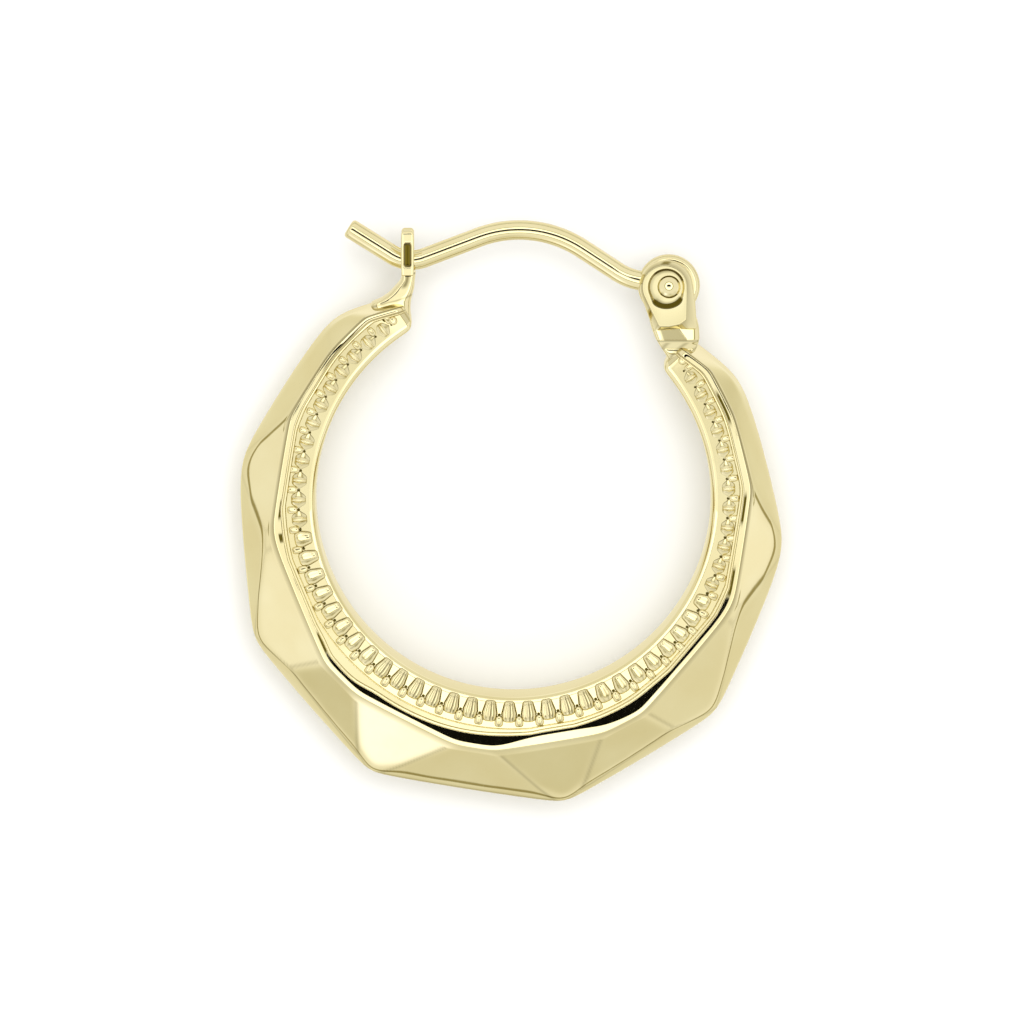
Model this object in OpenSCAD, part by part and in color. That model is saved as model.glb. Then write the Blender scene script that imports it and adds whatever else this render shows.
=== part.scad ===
// Crescent hoop earring with a hinged ear wire, millimetres, lying on its side.
// The hoop's axis runs along Z, and the catch and the hinge are at its top, toward +Y.

/* [Hoop] */
// Distance from the axis to the inside of the hoop
inner_radius = 7.31; // [6:0.01:12]
// Half of the thickness at the belly, over the lips
belly_half = 1.60; // [1:0.05:3]
// Share of that thickness that is lost toward the ends
end_taper = 0.30; // [0:0.05:0.6]
// Direction of the thickest place, counterclockwise from +X
belly_angle = 261; // [240:1:300]
// Angle from the belly to each end
half_span = 141.5; // [120:0.5:160]
// Height of the rim above the band of ridges
rim_height = 0.22; // [0.05:0.01:0.4]
// Softness of the edges between the facets
edge_soft = 0.10; // [0.02:0.01:0.4]

/* [Band of ridges and beads] */
// Number of ridges round the hoop
ridge_count = 54; // [20:1:80]
// Height of a ridge above the ground of the band
ridge_height = 0.14; // [0.05:0.01:0.3]
// Height of a bead above the ground of the band
bead_height = 0.13; // [0.05:0.01:0.3]
// Radius of the circle that the beads stand on
bead_circle = 7.99; // [7:0.01:12]

/* [Ear wire] */
// Thickness of the wire
wire_d = 0.73; // [0.5:0.01:1]
// Radius of the flat eye on the rivet
eye_radius = 1.15; // [0.8:0.01:1.5]
// Radius of the hole in the eye
eye_bore = 0.31; // [0.2:0.01:0.5]

/* [Hinge] */
// Radius of the rivet's shank
rivet_r = 0.28; // [0.2:0.01:0.5]
// Radius of the rivet's heads
head_r = 0.43; // [0.3:0.01:0.7]
// Height of a head's dome
head_rise = 0.22; // [0.1:0.01:0.4]
// Space between the two ears
ear_gap = 0.84; // [0.6:0.01:1.2]
// Thickness of an ear
ear_t = 0.35; // [0.2:0.01:0.6]
// Radius of the holes in the ears
ear_bore = 0.30; // [0.2:0.01:0.5]

/* [Catch] */
// Space between the prongs
fork_gap = 0.84; // [0.6:0.01:1.2]
// Thickness of a prong
prong_t = 0.28; // [0.2:0.01:0.5]
// Width of a prong across the wire's run
prong_w = 0.46; // [0.3:0.01:0.8]
// Height of the prongs' tops above the hoop's axis
prong_top = 9.97; // [9:0.01:11]
// Height of the bottom of the slot
slot_floor = 8.40; // [8:0.01:9]

/* [Hidden] */
gold = [0.94, 0.88, 0.64];
// The hoop's axis, from the middle of the whole earring
axis_x = 0.052;
axis_y = 0.571;
$fn = 64;

// Facets on one side of the belly, mirrored for the other.
// Each row: direction from the belly, distance at the middle plane, distance at the lip.
corner_facets = [[18.4, 11.69, 9.08], [59, 11.10, 8.78], [90.5, 10.27, 8.66], [126.5, 9.60, 8.68]];
between_facets = [[0, 11.16, 9.30], [36.7, 11.25, 9.21], [72.5, 11.15, 8.95], [112, 10.65, 8.72]];
crown_facets = [[0, 11.12, 10.07], [40.7, 10.84, 9.88], [76.8, 10.14, 9.14], [113.7, 9.43, 8.69]];
one_side = concat(corner_facets, between_facets, crown_facets);
other_side = [for (f = one_side) if (f[0] > 0) [-f[0], f[1], f[2]]];
// The slopes over the two ends, at the catch and at the hinge
end_facets = [[-157, 8.37, 8.00], [154, 8.64, 8.20]];
facets = concat(one_side, other_side, end_facets);

function mix(a, b, t) = a + (b - a) * t;
function facet_r(f, u, s) = mix(f[1], f[2], s) / cos(u - f[0]);
// A facet is weighed only in directions that it faces, by the cosine between them.
facing = 0.45;
function near_r(u, s) = [for (f = facets) if (cos(u - f[0]) > facing) facet_r(f, u, s)];
function total(v, i = 0) = i == len(v) ? 0 : v[i] + total(v, i + 1);
function soft_min(v) =
  let (low = min(v))
  low - edge_soft * ln(total([for (x = v) exp((low - x) / edge_soft)]));

// Radius of the outside at the angle u from the belly, where s is 0 at the middle plane and 1 at the lip.
function outside_r(u, s) = soft_min(near_r(u, s));
function half_thick(u) = belly_half * (1 - end_taper * pow(abs(u) / half_span, 2));
function bottom_share(u) = (1 + cos(u)) / 2;

stations_per_ridge = 4;
stations = ridge_count * stations_per_ridge;
station_step = 2 * half_span / stations;
plain_stations = 3;
function station_u(i) = -half_span + i * station_step;
function has_relief(i) = i > plain_stations && i < stations - plain_stations;
// The inside is a little closer to the axis at the belly, and turns away from it at the two ends.
end_round = 0.16;
belly_fill = 0.05;
end_fade = 0.3;
function from_end(i) = min(i, stations - i);
function inner_r(i, low) = inner_radius - belly_fill * low * low + end_round * pow(end_fade, from_end(i));
// A bead stands at the belly itself, and the ridges stand half a step from the beads.
function ridge_at(i) = has_relief(i) && i % stations_per_ridge == 2 ? ridge_height : 0;
function bead_at(i) = has_relief(i) && i % stations_per_ridge == 0 ? bead_height : 0;

// The cross-section from the middle plane inside, over the near face, to the middle plane outside.
levels = [0.72, 0.42, 0.16];
lip_width = 0.14;
lip_round = 0.01;
rim_dip = 0.05;
edge_gap = 0.06;
// Radii at the ends of the hoop and at its belly, mixed in between
bore_edge = [7.58, 7.46];
ridge_start = [7.76, 7.68];
ridge_end = [8.28, 8.34];
rim_start = [8.50, 8.66];
bore_lean = 0.03;
bore_share = 0.88;
edge_lift = 0.02;
function mix2(pair, t) = mix(pair[0], pair[1], t);
function near_half(i) =
  let (
    u = station_u(i),
    top = half_thick(u),
    band = top - rim_height,
    low = bottom_share(u),
    lip_r = outside_r(u, 1),
    rim_r = min(mix2(rim_start, low), lip_r - lip_width - edge_gap),
    band_r = min(mix2(ridge_end, low), rim_r - 2 * edge_gap),
    bead_r = min(bead_circle, band_r - edge_gap)
  )
  concat(
    [
      [inner_r(i, low), 0],
      [inner_r(i, low) + bore_lean, band * bore_share],
      [mix2(bore_edge, low), band + edge_lift],
      [mix2(ridge_start, low), band + ridge_at(i)],
      [bead_r, band + ridge_at(i) + bead_at(i)],
      [band_r, band],
      [rim_r, top - rim_dip],
      [lip_r - lip_width, top - lip_round],
      [lip_r, top]
    ],
    [for (s = levels) [outside_r(u, s), s * top]],
    [[outside_r(u, 0), 0]]
  );
function mirrored(half) = [for (k = [len(half) - 2:-1:1]) [half[k][0], -half[k][1]]];
function section(i) = let (h = near_half(i)) concat(h, mirrored(h));
function placed(i) =
  let (a = belly_angle + station_u(i))
  [for (p = section(i)) [p[0] * cos(a), p[0] * sin(a), p[1]]];

module tube() {
  ring = len(section(0));
  body = [for (i = [0:stations]) each placed(i)];
  first = belly_angle - half_span;
  last = belly_angle + half_span;
  cap_r = 8.0;
  caps = [[cap_r * cos(first), cap_r * sin(first), 0], [cap_r * cos(last), cap_r * sin(last), 0]];
  start_cap = len(body);
  walls = [
    for (i = [0:stations - 1])
      for (j = [0:ring - 1])
        let (k = (j + 1) % ring, a = i * ring, b = a + ring)
        each [[a + j, b + k, a + k], [a + j, b + j, b + k]]
  ];
  ends = [
    for (j = [0:ring - 1])
      let (k = (j + 1) % ring, b = stations * ring)
      each [[start_cap, j, k], [start_cap + 1, b + k, b + j]]
  ];
  polyhedron(points = concat(body, caps), faces = concat(walls, ends), convexity = 10);
}

// The rivet's axis, from the hoop's axis
hinge = [5.745, 7.88];
ear_in = ear_gap / 2;
ear_out = ear_in + ear_t;
neck_half = 0.60;
dish_depth = 0.12;
dish_r = 0.66;
eye_play = 0.08;
foot_share = 0.35;
face_skin = 0.02;

module ear_foot() {
  translate([-0.10, 0]) circle(r = 0.99);
  polygon([[-1.00, -0.30], [-0.56, -1.68], [1.04, -1.58], [0.98, -0.60], [0.80, 0.40]]);
}
module ear_face() {
  translate([-0.18, 0]) circle(r = 0.80);
  polygon([[-0.93, -0.30], [-0.41, -1.48], [0.05, -1.56], [0.62, -1.33], [0.62, 0.10]]);
}
module ear() {
  difference() {
    hull() {
      translate([0, 0, ear_in]) linear_extrude(ear_t * foot_share) ear_foot();
      translate([0, 0, ear_out - face_skin]) linear_extrude(face_skin) ear_face();
    }
    translate([0, 0, ear_in - 1]) cylinder(r = ear_bore, h = ear_t + 2);
    translate([0, 0, ear_out - dish_depth])
      cylinder(r1 = head_r + 0.04, r2 = dish_r, h = dish_depth + 0.001);
  }
}
module neck() {
  top = hinge[1] - eye_radius - eye_play;
  translate([0, 0, -neck_half]) linear_extrude(2 * neck_half)
    polygon([
      [5.02, top], [5.23, 5.99], [5.53, 5.46], [5.75, 5.05],
      [6.45, 5.05], [6.89, 5.77], [6.85, 6.34], [6.80, top]
    ]);
}
module ears() {
  neck();
  translate([hinge[0], hinge[1], 0]) {
    ear();
    mirror([0, 0, 1]) ear();
  }
}

prong_x = -3.91;
fork_half = fork_gap / 2 + prong_t;
dimple_y = 9.06;
dimple_len = 0.96;
dimple_w = 0.28;
dimple_depth = 0.10;

module prong_shape() {
  w = prong_w / 2;
  c = 0.12;
  polygon([
    [prong_x - w, slot_floor - 0.3],
    [prong_x + w + 0.05, slot_floor - 0.3],
    [prong_x + w, prong_top - c],
    [prong_x + w - c, prong_top],
    [prong_x - w + c, prong_top],
    [prong_x - w - 0.02, prong_top - c]
  ]);
}
module dimple() {
  reach = (dimple_len - dimple_w) / 2;
  for (y = [-reach, reach])
    translate([prong_x, dimple_y + y, fork_half - dimple_depth]) cylinder(r = dimple_w / 2, h = 1);
  translate([prong_x - dimple_w / 2, dimple_y - reach, fork_half - dimple_depth])
    cube([dimple_w, 2 * reach, 1]);
}
module catch() {
  difference() {
    union() {
      translate([0, 0, -fork_half]) linear_extrude(2 * fork_half) prong_shape();
      translate([0, 0, -fork_half]) linear_extrude(2 * fork_half)
        polygon([
          [-3.61, slot_floor - 0.1], [-3.66, 7.83], [-3.75, 7.49], [-3.81, 7.07], [-3.76, 6.55],
          [-4.10, 6.45], [-4.90, 6.85], [-5.32, 7.24], [-4.92, 7.40], [-4.61, 7.60], [-4.40, 7.83],
          [-4.19, 8.08], [-4.13, slot_floor - 0.1]
        ]);
    }
    translate([-5, slot_floor, -fork_gap / 2]) cube([2, 3, fork_gap]);
    dimple();
    mirror([0, 0, 1]) dimple();
  }
}

module hoop() {
  color(gold) union() {
    tube();
    ears();
    catch();
  }
}

head_gap = 0.01;
overlap = 0.02;
module rivet_head() {
  cap_r = (head_r * head_r + head_rise * head_rise) / (2 * head_rise);
  seat = ear_out - dish_depth + head_gap;
  translate([0, 0, seat]) intersection() {
    translate([0, 0, head_rise - cap_r]) sphere(r = cap_r);
    cylinder(r = head_r + 0.1, h = head_rise + 0.1);
  }
}
module hinge_rivet() {
  shank = ear_out - dish_depth + head_gap + overlap;
  color(gold) translate([hinge[0], hinge[1], 0]) {
    translate([0, 0, -shank]) cylinder(r = rivet_r, h = 2 * shank);
    rivet_head();
    mirror([0, 0, 1]) rivet_head();
  }
}

// The wire's bends, each [x, y, bend radius], from the tip to the eye
bends = [
  [-6.09, 10.03, 0], [-3.92, 8.667, 1.33], [0.73, 10.426, 4.25],
  [4.22, 8.14, 2.2], [hinge[0], hinge[1], 0]
];
tip_cone = 0.12;
turn_step = 6;
wire_sides = 16;
eye_half = 0.33;
root_half = 0.29;
root_reach = 0.55;
function heading(p, q) = atan2(q[1] - p[1], q[0] - p[0]);
function turn_at(k) = heading(bends[k], bends[k + 1]) - heading(bends[k - 1], bends[k]);
function trim_at(k) = bends[k][2] * tan(abs(turn_at(k)) / 2);

// Stations along the wire, each [x, y, heading, radius in the plane, radius along Z]
function arc_stations(k) =
  let (
    p = bends[k],
    t = turn_at(k),
    way = heading(bends[k - 1], p),
    side = t > 0 ? 1 : -1,
    start = [p[0] - trim_at(k) * cos(way), p[1] - trim_at(k) * sin(way)],
    centre = [start[0] - side * p[2] * sin(way), start[1] + side * p[2] * cos(way)],
    steps = ceil(abs(t) / turn_step)
  )
  [
    for (i = [0:steps])
      let (h = way + t * i / steps)
      [centre[0] + side * p[2] * sin(h), centre[1] - side * p[2] * cos(h), h, wire_d / 2, wire_d / 2]
  ];
function along(k, d, r, rz) =
  let (h = heading(bends[k], bends[k + 1]))
  [bends[k][0] + d * cos(h), bends[k][1] + d * sin(h), h, r, rz];
last_run = len(bends) - 2;
last_from = bends[last_run];
last_length = norm([hinge[0] - last_from[0], hinge[1] - last_from[1]]);
wire_stations = concat(
  [along(0, 0, wire_d / 2 - tip_cone, wire_d / 2 - tip_cone), along(0, tip_cone, wire_d / 2, wire_d / 2)],
  [for (k = [1:last_run]) each arc_stations(k)],
  [along(last_run, last_length - root_reach, wire_d / 2, root_half)]
);
function wire_ring(w) = [
  for (j = [0:wire_sides - 1])
    let (q = (j + 0.5) * 360 / wire_sides, side = w[3] * cos(q))
    [w[0] - side * sin(w[2]), w[1] + side * cos(w[2]), w[4] * sin(q)]
];
module round_wire() {
  count = len(wire_stations);
  walls = [
    for (i = [0:count - 2])
      for (j = [0:wire_sides - 1])
        let (k = (j + 1) % wire_sides, a = i * wire_sides, b = a + wire_sides)
        each [[a + j, b + k, a + k], [a + j, b + j, b + k]]
  ];
  last = (count - 1) * wire_sides;
  ends = [[for (j = [0:wire_sides - 1]) j], [for (j = [wire_sides - 1:-1:0]) last + j]];
  polyhedron(points = [for (w = wire_stations) each wire_ring(w)], faces = concat(walls, ends), convexity = 6);
}
module ear_wire() {
  color(gold) difference() {
    union() {
      round_wire();
      translate([hinge[0], hinge[1], -eye_half]) cylinder(r = eye_radius, h = 2 * eye_half);
    }
    translate([hinge[0], hinge[1], -1]) cylinder(r = eye_bore, h = 2);
  }
}

module in_place() {
  translate([axis_x, axis_y, belly_half]) children();
}

in_place() hoop();
in_place() hinge_rivet();
in_place() ear_wire();
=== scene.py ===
import math

import bpy
import numpy as np
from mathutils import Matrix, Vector


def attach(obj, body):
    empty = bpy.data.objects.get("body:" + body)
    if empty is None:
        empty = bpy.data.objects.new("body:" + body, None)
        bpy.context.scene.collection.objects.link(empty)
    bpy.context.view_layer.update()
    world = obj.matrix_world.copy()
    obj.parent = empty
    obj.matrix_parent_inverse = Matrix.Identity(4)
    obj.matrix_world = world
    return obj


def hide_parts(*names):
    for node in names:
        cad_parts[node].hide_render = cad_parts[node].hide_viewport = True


bl_info = {
    "name": "Crescent hoop earring",
    "version": (1, 0, 0),
    "blender": (4, 5, 0),
    "location": "3D View > Sidebar > Earring",
    "description": "Dresses the crescent hoop earring with its polished gold surfaces and its studio",
    "category": "Add Mesh",
}

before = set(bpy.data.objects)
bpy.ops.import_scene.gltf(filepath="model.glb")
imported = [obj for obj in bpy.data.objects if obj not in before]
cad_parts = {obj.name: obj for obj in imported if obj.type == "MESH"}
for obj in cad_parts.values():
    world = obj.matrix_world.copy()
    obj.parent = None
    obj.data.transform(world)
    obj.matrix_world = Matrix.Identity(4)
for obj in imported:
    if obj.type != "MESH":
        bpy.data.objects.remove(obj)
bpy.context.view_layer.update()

MM = 0.001
TURN = math.tau
HOOP_AXIS = np.array([0.052, 0.571, 1.60]) * MM

# Facets on one side of the belly: direction from the belly in degrees, and distance in mm at the middle
# plane and at the lip
CORNER_FACETS = [[18.4, 11.69, 9.08], [59, 11.10, 8.78], [90.5, 10.27, 8.66], [126.5, 9.60, 8.68]]
BETWEEN_FACETS = [[0, 11.16, 9.30], [36.7, 11.25, 9.21], [72.5, 11.15, 8.95], [112, 10.65, 8.72]]
CROWN_FACETS = [[0, 11.12, 10.07], [40.7, 10.84, 9.88], [76.8, 10.14, 9.14], [113.7, 9.43, 8.69]]
END_FACETS = [[-157, 8.37, 8.00], [154, 8.64, 8.20]]

# Direction and half length, in degrees, of the painted dark reflections in the rim
RIM_PAINTED_REFLECTIONS = [[182, 2.2], [189, 1.0], [139, 6], [-2, 3.5], [24, 4], [216.5, 2.6], [-20.5, 3.4]]

# Radii at the ends of the hoop and at its belly
BORE_EDGE = (7.58 * MM, 7.46 * MM)
GROUND_END = (8.34 * MM, 8.46 * MM)
RIM_START = (8.52 * MM, 8.68 * MM)

# Soft bumps in the two edges of the rim's bright flat: turn from the belly and half width in degrees, and
# the move outward in mm
INNER_EDGE_BUMPS = [[-20, 26, 0.10], [-38, 9, 0.17], [53, 11, -0.09]]
OUTER_EDGE_BUMPS = [[21, 12, -0.15]]

# Share of the belly above which the ridges are fluted, and above which they are rounded and not bars
FLUTED_SHARE = 0.93
ROUNDED_SHARE = 0.66

# Share of the half thickness at which the facets take over from the lip
FACET_TOP = 0.93

# The rivet's line, and the wire's bends from its tip to the rivet: x, y and radius in mm
HINGE = np.array([5.745, 7.88]) * MM
WIRE_BENDS = np.array([
    [-6.09, 10.03, 0],
    [-3.92, 8.667, 1.33],
    [0.73, 10.426, 4.25],
    [4.22, 8.14, 2.2],
    [5.745, 7.88, 0],
]) * MM

# Outlines of an ear in mm from the rivet's line: a disc as x, y and radius, and the corners of the foot
EAR_FOOT = (
    [-0.10, 0, 0.99],
    [[-1.00, -0.30], [-0.56, -1.68], [1.04, -1.58], [0.98, -0.60], [0.80, 0.40]],
)
EAR_FACE = (
    [-0.16, 0, 0.83],
    [[-0.93, -0.30], [-0.36, -1.47], [0.0, -1.47], [0.40, -1.39], [0.64, -1.22], [0.62, 0.10]],
)


def mix(a, b, t):
    """a at t 0 and b at t 1, straight in between."""
    return a + (b - a) * t


def ease(t):
    """0 below t 0 and 1 above t 1, with a smooth turn at both."""
    t = np.clip(t, 0.0, 1.0)
    return t * t * (3 - 2 * t)


def bump(x, middle, half, power=2):
    """1 at the middle, and e to the minus distance over half, to the power, on both sides of it."""
    return np.exp(-(((x - middle) / half) ** power))


# Meshes


def outward(points, faces):
    """The faces turned so that the volume they close is positive: a sixth of the sum of the triple
    products."""
    volume = 0.0
    for f in faces:
        for k in range(1, f.shape[1] - 1):
            a, b, c = points[f[:, 0]], points[f[:, k]], points[f[:, k + 1]]
            volume += np.einsum("ij,ij->", a, np.cross(b, c)) / 6
    return faces if volume > 0 else [f[:, ::-1] for f in faces]


def tube_part(rings, closed_rows=False, painted_shading=None):
    """Points, faces and painted shading shares of closed rings laid one after another. Each open end gets a
    middle point, unless the rows close too."""
    rows, cols = rings.shape[:2]
    points = rings.reshape(-1, 3)
    painted_shading = np.zeros(rows * cols) if painted_shading is None else np.broadcast_to(painted_shading, (rows, cols)).ravel()
    r = np.arange(rows if closed_rows else rows - 1)[:, None]
    c = np.arange(cols)[None, :]
    n = (c + 1) % cols
    s = (r + 1) % rows
    quads = np.stack([r * cols + c, r * cols + n, s * cols + n, s * cols + c], axis=-1).reshape(-1, 4)
    if closed_rows:
        return points, outward(points, [quads]), painted_shading
    first, last = len(points), len(points) + 1
    points = np.concatenate([points, rings[:1].mean(axis=1), rings[-1:].mean(axis=1)])
    painted_shading = np.concatenate([painted_shading, painted_shading[:1], painted_shading[-1:]])
    c, n = c.ravel(), n.ravel()
    base = (rows - 1) * cols
    start = np.stack([np.full_like(c, first), n, c], axis=-1)
    end = np.stack([np.full_like(c, last), base + c, base + n], axis=-1)
    return points, outward(points, [quads, start, end]), painted_shading


def soft_normals(points, faces):
    """A normal at each point: the sum of the cross products of the triangles there, so that a large flat
    face keeps its direction up to its edge."""
    total = np.zeros_like(points)
    for f in faces:
        for k in range(1, f.shape[1] - 1):
            corner = points[f[:, 0]]
            way = np.cross(points[f[:, k]] - corner, points[f[:, k + 1]] - corner)
            for j in (0, k, k + 1):
                np.add.at(total, f[:, j], way)
    return total / np.maximum(np.linalg.norm(total, axis=1, keepdims=True), 1e-30)


def add_object(name, data):
    """A new object of the scene at the origin."""
    thing = bpy.data.objects.new(name, data)
    bpy.context.scene.collection.objects.link(thing)
    return thing


def make_piece(name, parts, material, body, node, crease=None):
    """One object at the origin from parts, each (points, faces, painted shading), with points from the
    hoop's axis at the middle plane. It rides on the CAD body and stands for the CAD node."""
    at, points, faces, normals = 0, [], [], []
    for part_points, part_faces, _ in parts:
        points.append(part_points + HOOP_AXIS)
        normals.append(soft_normals(part_points, part_faces))
        faces += [row for f in part_faces for row in (f + at).tolist()]
        at += len(part_points)
    mesh = bpy.data.meshes.new(name)
    mesh.from_pydata(np.concatenate(points).tolist(), [], faces)
    mesh.shade_smooth()
    if crease is not None:
        mesh.set_sharp_from_angle(angle=math.radians(crease))
    else:
        mesh.normals_split_custom_set_from_vertices(np.concatenate(normals).tolist())
    # Each point's share of painted shading: shade and dark reflections painted into the gold's colour.
    painted_shading = mesh.attributes.new("painted_shading", "FLOAT", "POINT")
    painted_shading.data.foreach_set("value", np.clip(np.concatenate([part[2] for part in parts]), 0, 1))
    mesh.materials.append(material)
    piece = add_object(name, mesh)
    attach(piece, body)
    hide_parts(node)


def rounded_corners(corners, reach, steps):
    """A run of points through corners of shape (count, many, 2). Each inner corner is a quadratic curve
    that leaves its sides at reach from it, or before the middle of a short side."""
    run = [corners[0][None]]
    for k in range(1, len(corners) - 1):
        before, here, after = corners[k - 1], corners[k], corners[k + 1]
        to_before, to_after = before - here, after - here
        far_before = np.linalg.norm(to_before, axis=-1, keepdims=True)
        far_after = np.linalg.norm(to_after, axis=-1, keepdims=True)
        d = np.minimum(reach[k], 0.48 * np.minimum(far_before, far_after))
        p, q = here + to_before * d / far_before, here + to_after * d / far_after
        t = np.linspace(0, 1, steps[k])[:, None, None]
        run.append((1 - t) ** 2 * p + 2 * t * (1 - t) * here + t**2 * q)
    run.append(corners[-1][None])
    return np.concatenate(run)


# Hoop


def facet_table():
    """Direction, middle distance and lip distance of all facets, those of one side mirrored to the
    other."""
    one = CORNER_FACETS + BETWEEN_FACETS + CROWN_FACETS
    other = [[-f[0], f[1], f[2]] for f in one if f[0] > 0]
    table = np.array(one + other + END_FACETS)
    return np.radians(table[:, 0]), table[:, 1] * MM, table[:, 2] * MM


def outside_radius(turn, share, soft):
    """Distance from the axis to the outside at an angle from the belly. A facet's distance goes straight
    from its middle value at share 0 to its lip value at share 1, and the outside is the soft minimum of
    the facets that face that way."""
    way, middle, lip = facet_table()
    facing = np.cos(turn[..., None] - way)
    seen = facing > 0.45
    swell = 1 - 0.05 * np.arccos(np.clip(facing, -1, 1)) ** 2
    far = mix(middle, lip, share[..., None]) * swell / np.where(seen, facing, 1.0)
    far = np.where(seen, far, np.inf)
    low = far.min(axis=-1, keepdims=True)
    spread = np.exp((low - far) / soft[..., None]).sum(axis=-1)
    return low[..., 0] - soft * np.log(spread)


def crease_tone(turn, share):
    """1 where two facets meet, falling off where the second nearest plane is further out than the
    nearest: the share of a painted dark reflection along each crease."""
    way, middle, lip = facet_table()
    facing = np.cos(turn[..., None] - way)
    far = np.where(facing > 0.45, mix(middle, lip, share[..., None]) / np.maximum(facing, 0.45), 1.0)
    near = np.sort(far, axis=-1)
    return bump(near[..., 1], near[..., 0], 0.028 * MM)


def half_thickness(turn, hoop):
    """Half of the hoop's thickness, which falls with the square of the turn toward the two ends."""
    return hoop.belly_half * (1 - hoop.end_taper * (np.abs(turn) / hoop.half_span) ** 2)


def belly_share(turn):
    """1 at the belly and 0 opposite it."""
    return (1 + np.cos(turn)) / 2


def south(turn, hoop):
    """1 where the hoop's radius points toward -Y, and -1 where it points toward +Y."""
    return -np.sin(turn + hoop.belly_angle)


def band_slope(turn, hoop):
    """How much higher the band's inner side is than its outer side, so that it faces a little toward -Y
    all round."""
    return 0.045 * MM * south(turn, hoop)


def band_lean(facing, away, start):
    """Lean of the chamfer inward or of the lip band outward. Facing is the share of it toward +Y, away
    the share toward -Y, and start the value of facing where the lean grows quickly."""
    grown = (8 + 10 * np.maximum(facing - 0.3, 0)) * ease((facing - start) / 0.06)
    return np.radians(1.5 + grown + 3.5 * away)


def edge_bumps(turn, bumps):
    """How far an edge moves outward at each turn: the sum of its bumps."""
    middle, half, height = np.array(bumps).T
    return (height * bump(np.degrees(turn)[:, None], middle, half, 4)).sum(axis=1) * MM


def near_profile(turn, hoop):
    """The near half of the cross-section at each turn, as (many, rows, 2) of radius and height, and the
    painted shading shares as (many, rows): bore wall, chamfer, ground of the band, riser in two steps, flat
    of the rim leaning inward, lip band leaning outward, and the facets."""
    zero = np.zeros_like(turn)
    low, top, down = belly_share(turn), half_thickness(turn, hoop), south(turn, hoop)
    band = top - hoop.rim_height
    end_away = (hoop.half_span - np.abs(turn)) / math.radians(1.31)
    inner = hoop.inner_radius - 0.05 * MM * low**2 + 0.16 * MM * 0.3**end_away
    lip = outside_radius(turn, zero + 1, zero + 0.05 * MM)
    lip_band, rail = hoop.lip_band * mix(0.45, 1, low), hoop.rail_width * mix(0.6, 1, low)
    riser = mix(0.034, 0.02, low) * MM
    crest = lip - lip_band + edge_bumps(turn, OUTER_EDGE_BUMPS)
    least_flat = mix(0.05, 0.11, ease((np.degrees(turn) + 50) / 6)) * MM
    rim = np.minimum(mix(*RIM_START, low) + edge_bumps(turn, INNER_EDGE_BUMPS), crest - least_flat)
    ground = np.minimum(mix(*GROUND_END, low), rim - 2 * rail)
    lean = hoop.rim_tilt * mix(0.2, 1, ease((down - 0.12) / 0.25))
    rim_z = top - np.tan(lean) * (crest - rim)
    to_south, to_north = np.maximum(down, 0), np.maximum(-down, 0)
    chamfer_tan = np.tan(band_lean(to_south, to_north, 0.02))
    lip_tan = np.tan(band_lean(to_north, to_south**5, 0.63))
    bore_edge, edge_z = mix(*BORE_EDGE, low), band + band_slope(turn, hoop)
    corners = [
        [inner, zero],
        [inner + 0.03 * MM, band * 0.88],
        [bore_edge - 0.07 * MM, edge_z - 0.11 * MM * chamfer_tan],
        [bore_edge + 0.04 * MM, edge_z],
        [ground, band],
        [ground + riser, mix(band, rim_z, 0.5)],
        [rim - rail, mix(band, rim_z, 0.5) - 0.05 * rail * down],
        [rim - rail + riser, mix(band, rim_z, 0.86)],
        [rim - riser, mix(band, rim_z, 0.86) - 0.05 * rail * down],
        [rim, rim_z],
        [crest, top],
        [lip - 0.02 * MM, top - (lip - crest - 0.02 * MM) * lip_tan],
        [outside_radius(turn, zero + FACET_TOP, zero + hoop.crease_soft), FACET_TOP * top],
    ]
    corners = np.moveaxis(np.array(corners), 2, 1)
    reach = np.array([0, 0.12, 0.03, 0.012, 0.015, 0.02, 0.01, 0.02, 0.008, 0.008, 0.02, 0.035, 0]) * MM
    steps = [0, 6, 4, 4, 3, 4, 3, 4, 3, 3, 4, 6, 0]
    run = rounded_corners(corners, reach, steps)
    share = np.linspace(FACET_TOP, 0, 30)[1:, None]
    soft = mix(0.10 * MM, hoop.crease_soft, ease(share / 0.4)) + 0.13 * MM * (1 - low) ** 1.3
    rounded = np.sqrt(share**2 + 0.035**2)
    outside = np.stack([outside_radius(turn + 0 * share, rounded + zero, soft), share * top], axis=-1)
    # Painted shading: painted shade on the chamfer, the ground of the band, the risers and the lip band,
    # painted dark reflections in the rim and painted dark lines along the facets' creases.
    painted_shading = np.zeros((len(run) + len(outside), len(turn)))
    first = np.cumsum([1, *steps[1:-1]])
    painted_shading[first[2] + 1 : first[3]] = painted_shading[first[3]] = mix(0.30, 0, low**0.7)
    painted_shading[first[3] + 1 : first[4] - 1] = 0.30
    painted_shading[first[5] + 1 : first[6]] = mix(0.6, 0.35, low)
    painted_shading[first[7] + 1 : first[8]] = mix(0.9, 0.2, low)
    painted_shading[first[10] + 3 : first[10] + 6] = mix(0.7, 0.2, low**2)
    painted_shading[first[8] + 2 : first[9] + 1] = rim_painted_reflections(turn + hoop.belly_angle)
    painted_shading[len(run) :] = crease_tone(turn + 0 * share, share + zero) * 0.36 * low**2
    return np.moveaxis(np.concatenate([run, outside]), 0, 1), painted_shading.T


def rim_painted_reflections(angle):
    """Painted dark reflections in the narrow rim at the hoop's two sides, each a soft bump by its angle."""
    way, half = np.radians(np.array(RIM_PAINTED_REFLECTIONS)).T
    off = np.angle(np.exp(1j * (angle[:, None] - way)))
    return 1.6 * bump(off, 0, half, 4).sum(axis=1)


def in_ring(turn, radius, height, hoop):
    """Points from an angle from the belly, a radius and a height over the middle plane."""
    angle = turn + hoop.belly_angle
    return np.stack([radius * np.cos(angle), radius * np.sin(angle), height + 0 * radius], axis=-1)


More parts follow.
